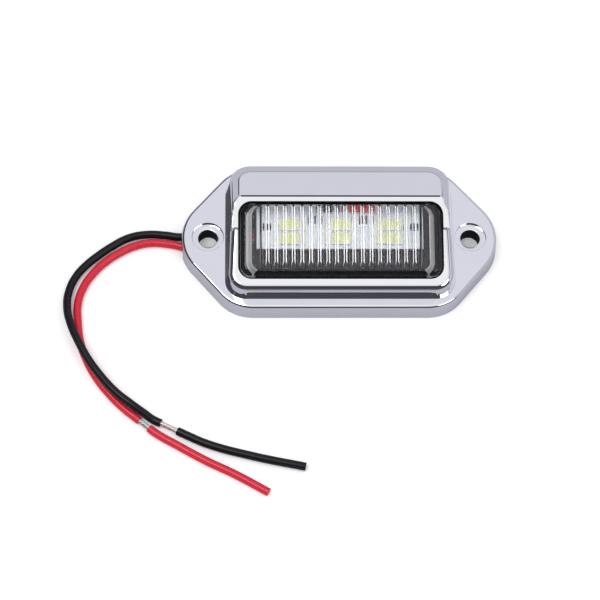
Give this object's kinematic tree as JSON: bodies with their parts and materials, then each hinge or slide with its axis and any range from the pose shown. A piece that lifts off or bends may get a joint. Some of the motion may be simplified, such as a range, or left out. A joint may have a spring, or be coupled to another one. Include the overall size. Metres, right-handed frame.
{
  "type": "number plate lamp",
  "caption": "Chrome hooded number plate lamp with a clear fluted lens over a white LED board and two loose wires, red and black.",
  "frame": {"origin": "centre of the back face, midway between the two screw holes, on the surface that the lamp is screwed to", "axes": "+X along the lamp through both screw holes, +Y towards the hood, +Z out of the lamp's face; the wires leave at -X"},
  "size_m": [0.1066, 0.0862, 0.0154],
  "materials": {
    "chrome_plastic": "bright chrome plate on moulded plastic",
    "clear_lens": "clear moulded plastic, fluted inside",
    "black_plastic": "matt moulded",
    "black_rubber": "matt",
    "white_board": "white solder mask",
    "led_body": "white body with a pale yellow phosphor",
    "resistor_ceramic": "dark glaze",
    "tin": "bright solder",
    "black_wire_skin": "smooth soft plastic",
    "red_wire_skin": "smooth soft plastic",
    "tinned_copper": "fine tinned strands"
  },
  "bodies": {
    "root": {"housing": "chrome_plastic", "lens": "clear_lens", "back_cover": "black_plastic", "wire_gland": "black_rubber", "circuit_board": "white_board", "led_1": "led_body", "led_2": "led_body", "led_3": "led_body", "led_4": "led_body", "led_5": "led_body", "led_6": "led_body", "resistor_1": "resistor_ceramic", "resistor_2": "resistor_ceramic", "black_solder_joint": "tin", "red_solder_joint": "tin", "black_inner_lead": "black_wire_skin", "red_inner_lead": "red_wire_skin", "black_wire": "black_wire_skin", "red_wire": "red_wire_skin", "black_strands": "tinned_copper", "red_strands": "tinned_copper", "black_end_sleeve": "black_wire_skin", "red_end_sleeve": "red_wire_skin"}
  },
  "joints": []
}
